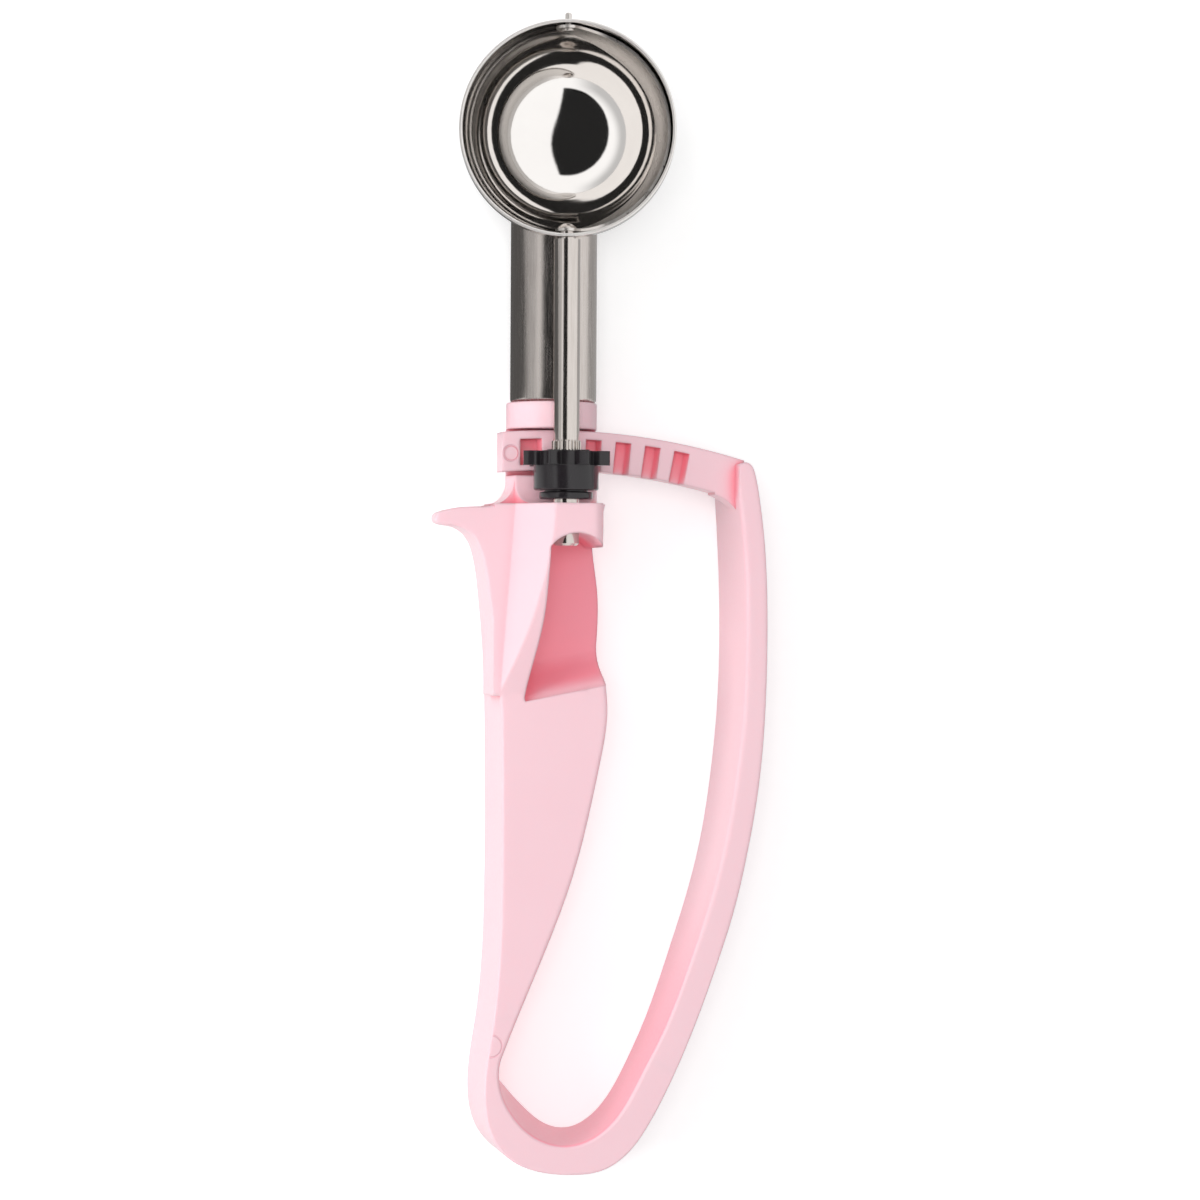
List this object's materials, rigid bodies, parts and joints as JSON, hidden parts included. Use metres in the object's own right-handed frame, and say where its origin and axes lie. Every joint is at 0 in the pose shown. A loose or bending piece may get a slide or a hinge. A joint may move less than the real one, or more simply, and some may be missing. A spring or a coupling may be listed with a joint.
{
  "type": "lever ice cream scoop",
  "caption": "Squeeze-handle portion scoop: round steel bowl with a sweeping scraper blade, driven through a rod and pinion by a toothed lever.",
  "frame": {"origin": "middle of the footprint, on the plane that the scoop's back lies on", "axes": "+Y toward the bowl's tip along the drive rod, +Z out of the bowl's mouth, +X from the grip toward the lever"},
  "size_m": [0.0626, 0.2112, 0.0276],
  "materials": {
    "pink_moulding": "satin moulded",
    "black_plastic": "smooth moulded",
    "polished_steel": "polished stainless",
    "brushed_steel": "fine brushed stainless"
  },
  "bodies": {
    "frame": {"grip": "pink_moulding", "spring_bend": "pink_moulding", "shank_tube": "brushed_steel", "bowl": "polished_steel"},
    "lever": {"lever": "pink_moulding"},
    "drive": {"drive_rod": "brushed_steel", "pinion": "black_plastic", "thrust_ring": "black_plastic", "scraper_blade": "brushed_steel", "blade_tip_pin": "brushed_steel"}
  },
  "joints": [
    {"name": "lever_squeeze", "type": "hinge", "parent": "frame", "child": "lever", "pos_m": [-0.00793, -0.09569, 0.00825], "axis": [0, 0, 1], "range_deg": [0, 7.8], "stiffness_Nm_per_rad": 4, "deforming": ["spring_bend"]},
    {"name": "blade_sweep", "type": "hinge", "parent": "frame", "child": "drive", "pos_m": [-0.00793, 0.02491, 0.0199], "axis": [0, 1, 0], "range_deg": [0, 155.3]}
  ],
  "couplings": [
    {"joint": "blade_sweep", "follows": "lever_squeeze", "ratio": 19.894}
  ]
}
